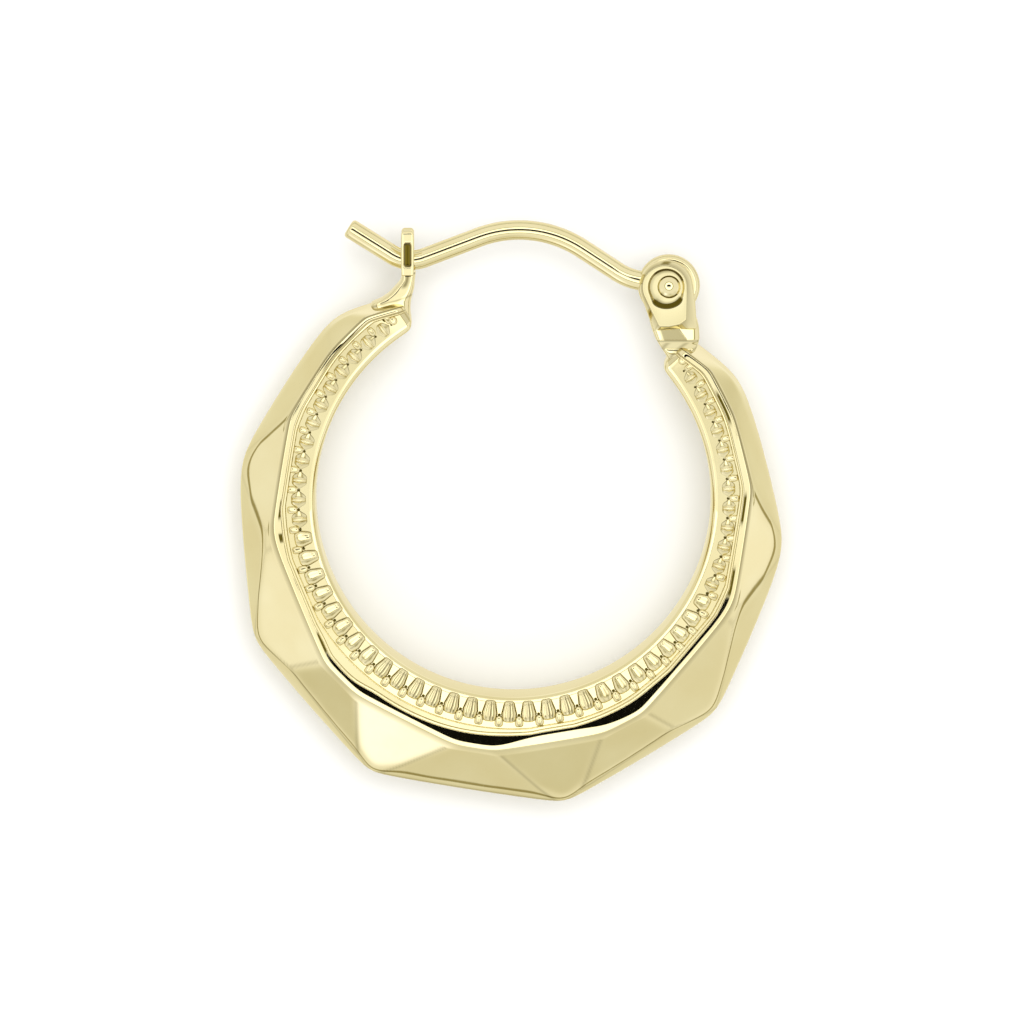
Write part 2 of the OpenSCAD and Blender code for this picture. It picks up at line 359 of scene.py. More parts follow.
def hoop_part(hoop):
    """The whole cross-section at each station. Near each end it draws in by a quarter circle, and the end
    face is two smaller copies of the last section."""
    round_by, mean_radius = 0.34 * MM, 8 * MM
    end_steps = round_by / mean_radius * (1 - np.cos(np.linspace(0, math.pi / 2, 9)))
    stations = np.linspace(-hoop.half_span, hoop.half_span, 640)[1:-1]
    stations = stations[np.abs(stations) < hoop.half_span - end_steps[-1]]
    edge = hoop.half_span - end_steps[:-1]
    turn = np.concatenate([-edge, stations, edge[::-1]])
    near, painted_shading = near_profile(turn, hoop)
    far = near[:, -2:0:-1] * [1, -1]
    painted_shading = np.concatenate([painted_shading, painted_shading[:, -2:0:-1]], axis=1)
    painted_shading = painted_shading[[0, 0, *range(len(turn)), -1, -1]]
    section = np.concatenate([near, far], axis=1)
    away = (hoop.half_span - np.abs(turn)) * mean_radius
    inset = round_by - np.sqrt(np.maximum(round_by**2 - np.maximum(round_by - away, 0) ** 2, 0))
    middle = section.mean(axis=1, keepdims=True)
    toward = middle - section
    section = section + toward * (inset[:, None, None] / np.linalg.norm(toward, axis=-1, keepdims=True))
    caps = np.array([0.35, 0.75])[:, None, None]
    first = mix(middle[:1], section[:1], caps)
    last = mix(middle[-1:], section[-1:], caps[::-1])
    section = np.concatenate([first, section, last])
    turn = np.concatenate([turn[:1], turn[:1], turn, turn[-1:], turn[-1:]])
    return tube_part(in_ring(turn[:, None], section[..., 0], section[..., 1], hoop), painted_shading=painted_shading)


def mounds(sizes, side, hoop, plan, crown, tone, rows, cols, lean=None):
    """Raised drops of metal on the band, on the side +1 or -1. The sizes are the angle from the belly,
    the radius, half the length, half the width and the height of each. Plan gives the share of the width
    along the radius, crown the share of the height across it, lean how much each top slopes down outward,
    and tone the painted shading share. Both ends fall off as a superellipse of the power 5."""
    turn, radius, length, width, height = (size[:, None, None] for size in np.broadcast_arrays(*sizes))
    a = -np.cos(np.linspace(0.0, math.pi, rows + 2)[1:-1])[:, None]
    fall = (1 - np.abs(a) ** 5.0) ** 0.5
    slope = 0 * a if lean is None else lean[:, None, None] * length * a
    c = np.concatenate([np.linspace(-1, 1, cols), [0.8, -0.8]])
    up = np.concatenate([crown(c[:cols]), [-0.3, -0.3]])
    wide = np.interp(a, plan[0], plan[1]) * (1 - np.abs(a) ** 12) ** 0.25
    r = radius + length * (a + 0 * c)
    t = turn + width * wide * c / radius
    z = band_height(turn, r, hoop) + (height - slope) * fall * up
    rings = in_ring(t, r, z, hoop) * [1, 1, side]
    # The tone paints shade and dark reflections on each drop, stronger at the belly.
    deep = tone(a, c) * mix(0.45, 1, belly_share(turn) ** 2)
    return [tube_part(one, painted_shading=share) for one, share in zip(rings, deep)]


def band_places(hoop, phase):
    """Angles from the belly, one for each step of the band, shifted by phase steps."""
    pitch = 2 * hoop.half_span / hoop.ridge_count
    k = np.arange(-hoop.ridge_count // 2, hoop.ridge_count // 2 + 1)
    turn = (k + phase) * pitch
    return turn[np.abs(turn) < hoop.half_span - 0.55 * pitch]


def band_height(turn, radius, hoop):
    """Height of the band's ground at a radius."""
    low = belly_share(turn)
    start, end = mix(*BORE_EDGE, low), mix(*GROUND_END, low)
    ground = half_thickness(turn, hoop) - hoop.rim_height
    return ground + band_slope(turn, hoop) * np.clip((end - radius) / (end - start), 0, 1)


def ridge_crown(c):
    """A flat-topped ridge with three fine flutes along it."""
    return (1 - np.abs(c) ** 3.4) ** 0.6 * (0.91 + 0.09 * np.cos(3 * math.pi * c))


def soft_crown(c):
    """A rounded ridge with one shallow dent on each side of its middle."""
    return (1 - np.abs(c) ** 2.8) ** 0.55 * (0.965 + 0.035 * np.cos(2.4 * math.pi * c))


def bar_crown(c):
    """A narrow bar along the middle of a low drop."""
    return 0.72 * (1 - np.abs(c)) + 0.28 * bump(c, 0, 0.25, 4)


def round_crown(c):
    """A round top."""
    return np.maximum(1 - np.abs(c) ** 2.6, 0) ** 0.5


def ridge_tone(a, c):
    """Painted shade along both sides of the ridge and at its inner end, and painted dark reflections down
    its flutes.
    """
    sides = 0.85 * bump(np.abs(c), 0.95, 0.09)
    flutes = 0.85 * bump(c, 0.12, 0.10) + 0.85 * bump(c, 0.52, 0.11) + 0.4 * bump(c, -0.45, 0.12)
    inner = 0.8 * bump(a, -0.98, 0.05)
    return np.clip(sides + flutes * (np.abs(a) < 0.86) + inner, 0, 1)


def soft_tone(a, c):
    """Painted shade along both sides and the inner end, and two soft strokes of painted dark reflection."""
    sides = 0.85 * bump(np.abs(c), 0.95, 0.09) + 0.7 * bump(a, -0.98, 0.06)
    strokes = 0.42 * bump(c, 0.34, 0.12) + 0.3 * bump(c, -0.30, 0.10)
    return sides + strokes * (np.abs(a) < 0.8)


def bar_tone(a, c):
    """Painted shade round the drop and along both sides of its bar."""
    edge = 1.1 * bump(np.abs(c), 0.96, 0.08) + 0.7 * bump(np.abs(a), 0.98, 0.06)
    return edge + 0.5 * bump(np.abs(c), 0.42, 0.07) + 0.16 * (np.abs(c) > 0.42)


def bead_tone(a, c):
    """Painted shading: bright along the inner edge and both sides, and painted darker toward the outer end.
    """
    return 0.5 * bump(c, 0, 0.32) * ease((a + 0.35) / 0.4) + 0.5 * (np.abs(c) > 0.95)


def dark_tone(a, c):
    """Painted shade all over, so that the drop shows as a dark pit."""
    return 2.2 + 0 * a * c


# Places along a drop of metal, and the share of its width there
BAR_PLAN = ([-1, -0.6, 0, 0.6, 1], [0.42, 0.66, 1.0, 0.66, 0.42])
RIDGE_PLAN = ([-1, -0.8, 0.2, 0.8, 1], [0.60, 0.72, 1.0, 0.80, 0.6])
BEAD_PLAN = ([-1, -0.6, 0, 0.6, 1], [0.5, 0.86, 1.0, 0.94, 0.74])
ROUND_PLAN = ([-1, -0.7, 0, 0.7, 1], [0.35, 0.76, 1.0, 0.76, 0.35])


def ridge_parts(hoop):
    """Fluted ridges at the belly, rounded ones beside it and narrow bars up the two sides."""
    parts = []
    turn = band_places(hoop, 0.5)
    low, down = belly_share(turn), south(turn, hoop)
    right = ease(np.sin(turn) * 1.6)
    side_share = ease((0.72 - low) / 0.12)
    inner = mix(7.62, 7.42, low**0.7) * MM + 0.13 * MM * right * (1 - low**2)
    inner = mix(inner, 7.66 * MM + 0.06 * MM * right, side_share)
    outer = mix(8.20, 8.24, low) * MM
    near_end = ease((hoop.half_span - np.abs(turn)) / math.radians(14))
    wide = mix(0.18, mix(0.30, 0.355, side_share), near_end) * MM
    high = hoop.ridge_height * mix(0.6, 1, near_end)
    lean = np.where(down >= 0, 1, -1) * np.tan(np.radians(mix(8.5, 4.5, np.abs(down))))
    for here, plan, crown, tone, slope in (
        (low > FLUTED_SHARE, RIDGE_PLAN, ridge_crown, ridge_tone, 0.0),
        ((low > ROUNDED_SHARE) & (low <= FLUTED_SHARE), RIDGE_PLAN, soft_crown, soft_tone, 1.0),
        (low <= ROUNDED_SHARE, BAR_PLAN, bar_crown, bar_tone, 1.0),
    ):
        sizes = [size[here] for size in (turn, (inner + outer) / 2, (outer - inner) / 2, wide, high)]
        for side in (1, -1):
            parts += mounds(sizes, side, hoop, plan, crown, tone, 13, 35, slope * lean[here])
    return parts


def bead_parts(hoop):
    """The beads, a small drop painted dark as a pit inward of each, and at one end a last round bead with a
    painted dark pit beside it.
    """
    turn = band_places(hoop, 0.0)
    low = belly_share(turn)
    bead_height, pit_half = hoop.bead_height * mix(0.7, 1, low), mix(0.042, 0.062, low) * MM
    bead_half, bead_width = mix(0.17, 0.21, low) * MM, mix(0.12, 0.165, low) * MM
    beads = turn, mix(8.13, 8.20, low) * MM, bead_half, bead_width, bead_height
    pits = turn, mix(7.90, 7.965, low) * MM, pit_half, pit_half, mix(0.07, 0.04, low) * MM
    last_beads = np.radians([-137.2, 138.6]), np.array([8.0, 8.12]) * MM, 0.17 * MM, 0.17 * MM, 0.11 * MM
    last_pit = np.radians([-135.7]), 8.24 * MM, 0.13 * MM, 0.11 * MM, 0.03 * MM
    lean = np.where(south(turn, hoop) >= 0, 0.15, -0.15) * (low <= ROUNDED_SHARE)
    parts = []
    for side in (1, -1):
        parts += mounds(beads, side, hoop, BEAD_PLAN, round_crown, bead_tone, 11, 18, lean)
        parts += mounds(pits, side, hoop, ROUND_PLAN, round_crown, dark_tone, 5, 9)
        parts += mounds(last_beads, side, hoop, ROUND_PLAN, round_crown, bead_tone, 11, 18)
        parts += mounds(last_pit, side, hoop, ROUND_PLAN, round_crown, dark_tone, 7, 11)
    return parts


# Hinge


def lathe_part(profile, centre, cols, ball=False):
    """A profile of radius and height turned round a line along Z. It is a closed loop, or with ball it
    starts and ends on the line."""
    q = np.arange(cols) * TURN / cols
    r, z = profile[:, :1], profile[:, 1:]
    rings = np.stack([centre[0] + r * np.cos(q), centre[1] + r * np.sin(q), z + 0 * q], axis=-1)
    return tube_part(rings, closed_rows=not ball)


def hull_reach(angle, outline):
    """Distance from the origin to the outline round a disc and some corners, in each direction: the least
    of the lines that just touch them."""
    disc, corners = (np.array(part) * MM for part in outline)
    way = np.arange(720) * TURN / 720
    normal = np.stack([np.cos(way), np.sin(way)], axis=-1)
    furthest = np.maximum(normal @ disc[:2] + disc[2], (normal @ corners.T).max(axis=1))
    facing = np.cos(angle[:, None] - way)
    return np.where(facing > 0.05, furthest / np.maximum(facing, 0.05), np.inf).min(axis=1)


def ear_part(side, hinge):
    """One ear as rings round the rivet's line: up the bore, out over the dish and the flat, down the
    bevel to the foot's outline and back along the inner face."""
    q = np.arange(160) * TURN / 160
    foot, face = hull_reach(q, EAR_FOOT), hull_reach(q, EAR_FACE)
    inside, outside = hinge.ear_gap / 2, hinge.ear_gap / 2 + hinge.ear_thickness
    bore = 0.30 * MM + 0 * q
    down = ease((-np.sin(q) - 0.35) / 0.5)
    dish = np.minimum((0.69 - 0.10 * np.cos(q) + 0.11 * down) * MM, face - 0.05 * MM)
    deep, wall = 0.105 * MM, mix(0.10, 0.19, down) * MM
    rows = [(bore, inside), (bore, outside - deep - 0.03 * MM)]
    for t in (0.0, 0.35, 0.7, 1.0):
        rows.append((mix(bore, dish - wall, t), outside - deep))
    for t in np.linspace(0.0, 1, 11)[1:]:
        rows.append((dish - wall * (1 - t), outside - deep * (1 - ease(t)) - 0.004 * MM * (1 - t)))
    rows.append((dish + 0.012 * MM, outside))
    shoulder = inside + hinge.ear_thickness * 0.42
    level = 0 * q
    corners = np.array([
        [dish + 0.03 * MM, level + outside],
        [face - 0.01 * MM, level + outside],
        [foot, level + shoulder],
        [foot, level + inside],
        [foot - 0.3 * MM, level + inside],
    ])
    corners = np.moveaxis(corners, 2, 1)
    run = rounded_corners(corners, np.array([0, 0.035, 0.10, 0.06, 0]) * MM, [0, 5, 7, 5, 0])
    r = np.concatenate([np.array([row[0] for row in rows]), run[:, :, 0]])
    z = np.concatenate([np.array([level + row[1] for row in rows]), run[:, :, 1]])
    rings = np.stack([HINGE[0] + r * np.cos(q), HINGE[1] + r * np.sin(q), z * side], axis=-1)
    # Painted shading in the dish: a dark smile low in its wall, a dark arc at its top right, soft painted
    # shade over its floor toward the left and a painted dark line round the face's outline.
    across = (r - dish + wall) / wall
    on_wall = ease((across + 0.1) / 0.25) * ease((1.06 - across) / 0.16)
    smile = 1.3 * ease((-np.sin(q) - 0.60) / 0.16)
    arc = 0.85 * ease((np.cos(q - math.radians(80)) - 0.42) / 0.3)
    lit_side = ease((np.cos(q - math.radians(165)) + 0.1) / 0.6)
    clouds = 0.32 * ease((across + 1.6) / 1.6) * lit_side * (across < 0.9)
    painted_shading = np.clip(on_wall * (0.3 + smile + arc) + clouds, 0, 1) * (z > outside - 0.12 * MM)
    painted_shading = np.maximum(painted_shading, 0.45 * bump(r, face, 0.04 * MM) * (z > shoulder))
    return tube_part(rings, closed_rows=True, painted_shading=painted_shading)


def box_loft(levels, cols, power, tone, fall=None):
    """A bar through levels along Y, joined by a smooth curve through each four neighbours. The
    cross-section is a superellipse near to a rectangle. Tone gives the painted shading share at a place, and
    fall the share of the depth that is lost there."""
    levels = np.array(levels) * MM
    ends = np.concatenate([2 * levels[:1] - levels[1:2], levels, 2 * levels[-1:] - levels[-2:-1]])
    t = np.arange(8)[:, None] / 8
    runs = []
    for k in range(len(levels) - 1):
        a, b, c, d = ends[k : k + 4]
        square, cube = 2 * a - 5 * b + 4 * c - d, 3 * b - a - 3 * c + d
        runs.append(0.5 * (2 * b + (c - a) * t + square * t**2 + cube * t**3))
    level = np.concatenate([*runs, levels[-1:]])
    q = (np.arange(cols) + 0.5) * TURN / cols
    size = (np.abs(np.cos(q)) ** power + np.abs(np.sin(q)) ** power) ** (-1 / power)
    x, z = size * np.cos(q), size * np.sin(q)
    y, left, right, deep = (level[:, k : k + 1] for k in range(4))
    if fall is not None:
        deep = deep * (1 - fall(x, y / MM))
    rings = np.stack([(left + right) / 2 + (right - left) / 2 * x, y + 0 * q, deep * z], axis=-1)
    return tube_part(rings, painted_shading=tone(x, y / MM) * (np.abs(z) > 0.6))


# Levels of the neck along Y in mm: y, left, right and half depth
NECK_LEVELS = [
    (6.72, 5.06, 6.74, 0.52), (6.62, 5.03, 6.80, 0.62), (6.34, 5.10, 6.86, 0.625), (5.97, 5.24, 6.88, 0.622),
    (5.91, 5.27, 6.87, 0.627), (5.85, 5.31, 6.86, 0.66), (5.72, 5.39, 6.82, 0.76), (5.55, 5.50, 6.74, 0.84),
    (5.30, 5.66, 6.60, 0.80), (5.05, 5.82, 6.42, 0.70),
]


def neck_edge(y):
    """Where the neck's front bends, from its middle line."""
    return 0.11 - 0.7 * (y - 6.38)


def neck_fall(x, y):
    """Share of the depth lost to the slope on the right side of the neck's front."""
    return 0.26 * np.maximum(x - neck_edge(y), 0) * ease((6.6 - y) / 0.15) * ease((y - 5.7) / 0.15)


def neck_tone(x, y):
    """Painted shading: a dark face under the ears on the left, dark seams where the neck meets the hoop and
    dark blobs below them.
    """
    left = ease((neck_edge(y) - x) / 0.05) * ease((x + 0.66) / 0.06)
    face = ease((6.52 - y) / 0.05) * ease((y - 5.86) / 0.05)
    seam = bump(y, 5.87, 0.03)
    blobs = np.sin(3.4 * x - 7 * y) ** 8 * ease((5.84 - y) / 0.06)
    return np.clip(0.5 * left * face + 0.4 * seam + 0.4 * blobs, 0, 1)


# Catch


# Levels of the stem along Y in mm: y, left, right and half depth
STEM_LEVELS = [
    (8.40, -4.12, -3.62, 0.64), (8.34, -4.14, -3.61, 0.69), (8.08, -4.19, -3.64, 0.70),
    (7.83, -4.40, -3.66, 0.70), (7.60, -4.62, -3.72, 0.70), (7.40, -4.92, -3.77, 0.695),
    (7.24, -5.25, -3.79, 0.69), (7.00, -5.20, -3.80, 0.68), (6.75, -4.80, -3.78, 0.65),
    (6.50, -4.20, -3.76, 0.58),
]


def stem_tone(x, y):
    """Painted shading: a dark line under the prongs, a dark stripe down the middle and a dark seam where the
    stem spreads.
    """
    collar = 0.6 * bump(y, 8.40, 0.05)
    stripe = 0.75 * bump(x, -0.1, 0.30) * ease((y - 7.75) / 0.2) * ease((8.38 - y) / 0.06)
    spread = 0.45 * bump(y - 0.25 * x, 7.35, 0.05)
    return np.clip(collar + stripe + spread, 0, 1)


def prong_part(side, catch):
    """One prong as rings up Y: a bar nearly square in section with a round top, and a long dimple in its
    outer face, painted dark as painted shade."""
    inside, thick = catch.fork_gap / 2, catch.prong_thickness
    middle, foot, top, round_by = -3.91 * MM, 8.30 * MM, catch.prong_top, 0.14 * MM
    dimple, dimple_half, dimple_edge = 9.06 * MM, 0.34 * MM, 0.09 * MM
    cap = top - round_by * (1 - np.sin(np.linspace(0, math.pi / 2, 9)[1:]))
    up = np.concatenate([np.linspace(foot, top - round_by, 44), cap])[:, None]
    draw = 0.13 * MM * (1 - np.sqrt(1 - np.clip((up - top + round_by) / round_by, 0, 1) ** 2))
    q = (np.arange(56) + 0.5) * TURN / 56
    x, z = (np.sign(way) * np.abs(way) ** 0.36 for way in (np.cos(q), np.sin(q)))
    half = catch.prong_width / 2 + 0.012 * MM * np.sin((up - foot) / (top - foot) * math.pi) - draw
    px = middle + half * x
    pz = inside + thick / 2 + (thick / 2 - draw * 0.9) * z
    away = np.hypot(px - middle, np.maximum(np.abs(up - dimple) - dimple_half, 0))
    pressed = ease(1 - (away - dimple_edge) / (0.07 * MM)) * (z > 0.5)
    pz = pz - catch.dimple_depth * pressed
    rings = np.stack([px, up + 0 * q, pz * side], axis=-1)
    # The dimple's shade is painted into the colour.
    return tube_part(rings, painted_shading=1.1 * pressed)


# Ear wire


def heading_of(angle):
    """A step of 1 in the direction of an angle from +X."""
    return np.array([math.cos(angle), math.sin(angle)])


def wire_path():
    """Points and headings along the wire: straight runs joined by arcs of each bend's radius."""
    p, run_steps, bend_steps = WIRE_BENDS, 14, 30
    heading = np.arctan2(np.diff(p[:, 1]), np.diff(p[:, 0]))
    turn = np.diff(heading)
    trim = p[1:-1, 2] * np.tan(np.abs(turn) / 2)
    place, way = [], []
    start = p[0, :2]
    for k in range(1, 4):
        h0, h1 = heading[k - 1], heading[k]
        stop = p[k, :2] - trim[k - 1] * heading_of(h0)
        t = np.linspace(0, 1, run_steps)[min(k - 1, 1) : -1, None]
        place.append(mix(start, stop, t))
        way.append(np.full(len(t), h0))
        side = math.copysign(1.0, turn[k - 1])
        centre = stop + side * p[k, 2] * np.array([-math.sin(h0), math.cos(h0)])
        h = np.linspace(h0, h1, bend_steps)
        place.append(centre + side * p[k, 2] * np.stack([np.sin(h), -np.cos(h)], axis=-1))
        way.append(h)
        start = place[-1][-1]
    end = p[4, :2] - 0.45 * MM * heading_of(heading[3])
    place.append(mix(start, end, np.linspace(0, 1, run_steps)[1:, None]))
    way.append(np.full(run_steps - 1, heading[3]))
    return np.concatenate(place), np.concatenate(way)


def wire_part(wire):
    """A round bar along the wire's path. Its tip is rounded off over 0.13 mm, and toward the eye it
    flattens a little."""
    place, way = wire_path()
    radius = wire.thickness / 2
    soft = 0.13 * MM
    t = np.linspace(0, math.pi / 2, 8)[:-1]
    tip = place[0] + heading_of(way[0]) * (soft * (1 - np.cos(t)))[:, None]
    place = np.concatenate([tip, place[1:]])
    way = np.concatenate([np.full(len(t), way[0]), way[1:]])
    across = np.concatenate([radius - soft + soft * np.sin(t), np.full(len(place) - len(t), radius)])
    to_eye = np.linalg.norm(place - HINGE, axis=1)
    deep = across * mix(0.84, 1.0, ease((to_eye - 0.9 * MM) / (1.3 * MM)))
    q = np.arange(40) * TURN / 40
    side = np.stack([-np.sin(way), np.cos(way)], axis=-1)
    flat = place[:, None] + side[:, None] * (across[:, None] * np.cos(q))[..., None]
    rings = np.concatenate([flat, (deep[:, None] * np.sin(q))[..., None]], axis=-1)
    return tube_part(rings)


def eye_part(wire):
    """The flat eye at the wire's end, turned round the rivet's line, with a hole and full round edges."""
    half, outer, bore, soft = 0.325 * MM, wire.eye_radius, 0.31 * MM, 0.20 * MM
    a = np.linspace(-math.pi / 2, math.pi / 2, 15)
    rim = np.stack([outer - soft + soft * np.cos(a), np.sign(a) * (half - soft) + soft * np.sin(a)], axis=-1)
    hole = np.array([[bore + 0.03 * MM, half], [bore, half - 0.04 * MM]])
    return lathe_part(np.concatenate([rim, hole, hole[::-1] * [1, -1]]), HINGE, 96)


def rivet_part(hinge):
    """The rivet, turned round its own line: a shank and two domed heads."""
    shank, head, rise = 0.28 * MM, hinge.head_radius, hinge.head_rise
    seat = hinge.ear_gap / 2 + hinge.ear_thickness - 0.11 * MM
    cap = (head**2 + rise**2) / (2 * rise)
    a = np.linspace(0.0, 1.0, 14)
    r = head * np.sin(a * math.pi / 2)
    z = seat + np.sqrt(cap**2 - np.minimum(r, head) ** 2) - (cap - rise)
    dome = np.stack([r, z], axis=-1)
    skirt = np.array([[head - 0.005 * MM, seat - 0.02 * MM], [shank, seat - 0.03 * MM], [shank, 0.0]])
    half = np.concatenate([dome[1:], skirt])
    both = np.concatenate([half, half[-2::-1] * [1, -1]])
    return lathe_part(both, HINGE, 64, ball=True)


# Materials and studio


def node_of(tree, kind, values=None, **settings):
    """A new node of that kind, with its settings and then its input values."""
    node = tree.nodes.new("ShaderNode" + kind)
    for name, value in settings.items():
        setattr(node, name, value)
    for name, value in (values or {}).items():
        node.inputs[name].default_value = value
    return node


def link(tree, *ends):
    """Links each output to the input that follows it."""
    for a, b in zip(ends[::2], ends[1::2]):
        tree.links.new(a, b)


def ramp_of(tree, value, stops):
    """A colour ramp of a value, through stops of position and colour."""
    ramp = node_of(tree, "ValToRGB")
    tree.links.new(value, ramp.inputs["Fac"])
    elements = ramp.color_ramp.elements
    while len(elements) < len(stops):
        elements.new(0.5)
    for element, (at, colour) in zip(elements, stops):
        element.position = at
        element.color = (*colour, 1)
    return ramp.outputs["Color"]


def gold_finish(name, light, deep, rough, ripple, hairline):
    """Polished gold. The colour drifts between two golds in soft clouds and darkens toward a dark olive with
    the painted shading share, which paints shade and dark reflections into it; the roughness follows fine
    hairlines, and a slow ripple with a finer grain bends the reflections."""
    material = bpy.data.materials.new(name)
    material.use_nodes = True
    tree = material.node_tree
    shader = tree.nodes["Principled BSDF"]
    shader.inputs["Metallic"].default_value = 1.0
    place = node_of(tree, "TexCoord")
    painted_shading = node_of(tree, "Attribute", attribute_name="painted_shading")
    # Painted shading: the colour is mixed toward this dark olive by each point's share, to paint shade and
    # dark reflections.
    painted_shading_mix = node_of(tree, "Mix", {"B": (0.10, 0.075, 0.008, 1)}, data_type="RGBA")
    clouds = node_of(tree, "TexNoise", {"Scale": 420, "Detail": 3})
    stretch = node_of(tree, "Mapping", {"Scale": (9000, 1400, 9000), "Rotation": (0, 0, 0.6)})
    lines = node_of(tree, "TexNoise", {"Scale": 1, "Detail": 4})
    spread = {"From Min": 0.35, "From Max": 0.75, "To Min": rough, "To Max": rough + hairline}
    gloss = node_of(tree, "MapRange", spread)
    slow = node_of(tree, "TexNoise", {"Scale": 650, "Detail": 1})
    wave = node_of(tree, "Bump", {"Strength": ripple, "Distance": 0.02 * MM})
    grain = node_of(tree, "Bump", {"Strength": ripple * 0.6, "Distance": 0.0004 * MM})
    hue = ramp_of(tree, clouds.outputs["Fac"], [(0.35, deep), (0.65, light)])
    link(
        tree,
        place.outputs["Object"], clouds.inputs["Vector"],
        place.outputs["Object"], stretch.inputs["Vector"],
        place.outputs["Object"], slow.inputs["Vector"],
        stretch.outputs["Vector"], lines.inputs["Vector"],
        hue, painted_shading_mix.inputs["A"],
        painted_shading.outputs["Fac"], painted_shading_mix.inputs["Factor"],
        painted_shading_mix.outputs["Result"], shader.inputs["Base Color"],
        lines.outputs["Fac"], gloss.inputs["Value"],
        gloss.outputs["Result"], shader.inputs["Roughness"],
        slow.outputs["Fac"], wave.inputs["Height"],
        lines.outputs["Fac"], grain.inputs["Height"],
        wave.outputs["Normal"], grain.inputs["Normal"],
        grain.outputs["Normal"], shader.inputs["Normal"],
    )
    return material


def finish_of(name):
    """The finish of that name, made once from the panel's colours."""
    if name in bpy.data.materials:
        return bpy.data.materials[name]
    tone = bpy.context.scene.earring_finish
    rough, ripple, hairline = {
        "polished gold": (0.04, 0.7, 0.04),
        "cast gold": (0.10, 0.5, 0.08),
        "drawn gold": (0.06, 0.25, 0.06),
    }[name]
    return gold_finish(name, tuple(tone.light_gold), tuple(tone.deep_gold), rough, ripple, hairline)


# Light of the tent by the angle from the camera in degrees
PANELS = [
    (0, (0.64, 0.64, 0.62)), (14, (0.64, 0.64, 0.62)), (16.5, (1, 1, 1)), (27, (1, 1, 1)),
    (30, (0.75, 0.74, 0.70)), (32, (0.22, 0.20, 0.10)), (35, (0.22, 0.20, 0.10)),
    (37, (0.54, 0.54, 0.54)), (100, (0.54, 0.54, 0.54)),
]

# Light of the walls by the elevation in degrees
WALLS = [
    (-90, (0.86, 0.79, 0.54)), (-65, (0.90, 0.86, 0.72)), (-42, (1.0, 0.99, 0.97)),
    (-31, (0.88, 0.86, 0.76)), (-20, (0.86, 0.84, 0.75)), (-9, (0.92, 0.91, 0.86)),
    (-7, (0.40, 0.36, 0.20)), (-3, (0.40, 0.36, 0.20)), (-1, (0.98, 0.97, 0.95)), (90, (1, 1, 1)),
]

# Patches of the walls, each where one facet of the near side mirrors the camera: the facet, its side of the
# belly, how much brighter the patch is than the wall, and its width in degrees
FACET_PATCHES = [
    (CORNER_FACETS[0], -1, 0.48, 9),
    (CORNER_FACETS[0], 1, -0.26, 12),
    (CORNER_FACETS[1], 1, -0.13, 10),
    (CORNER_FACETS[1], -1, 0.09, 10),
    (CORNER_FACETS[2], 1, 0.12, 10),
    (CORNER_FACETS[3], 1, -0.14, 12),
    (BETWEEN_FACETS[0], 1, -0.18, 9),
    (BETWEEN_FACETS[1], 1, -0.20, 8),
    (BETWEEN_FACETS[1], -1, -0.28, 9),
    (END_FACETS[0], 1, 0.12, 14),
    (END_FACETS[1], 1, 0.12, 14),
]

# A wide patch low on the wall toward -Y: elevation, how much brighter than the wall, and width in degrees
LOW_PATCH = (-35, -0.22, 22)


def facet_mirror(facet, side, hoop, tilt):
    """Direction in which a facet of the near side mirrors the camera: twice its normal by the cosine
    between the normal and the camera, less the direction to the camera. The normal goes outward by the
    facet's height and up by how far the facet draws in."""
    turn, middle, lip = facet
    angle = math.radians(side * turn) + hoop.belly_angle
    height = half_thickness(math.radians(turn), hoop) / MM
    normal = Vector((height * math.cos(angle), height * math.sin(angle), middle - lip)).normalized()
    camera = Vector((0, math.sin(tilt), math.cos(tilt)))
    return 2 * normal.dot(camera) * normal - camera


def wall_patches(hoop, tilt):
    """Direction, brightness and width of each patch."""
    height, amount, width = LOW_PATCH
    low = Vector((0, -math.cos(math.radians(height)), math.sin(math.radians(height))))
    patches = [(facet_mirror(row[0], row[1], hoop, tilt), row[2], row[3]) for row in FACET_PATCHES]
    return [*patches, (low, amount, width)]


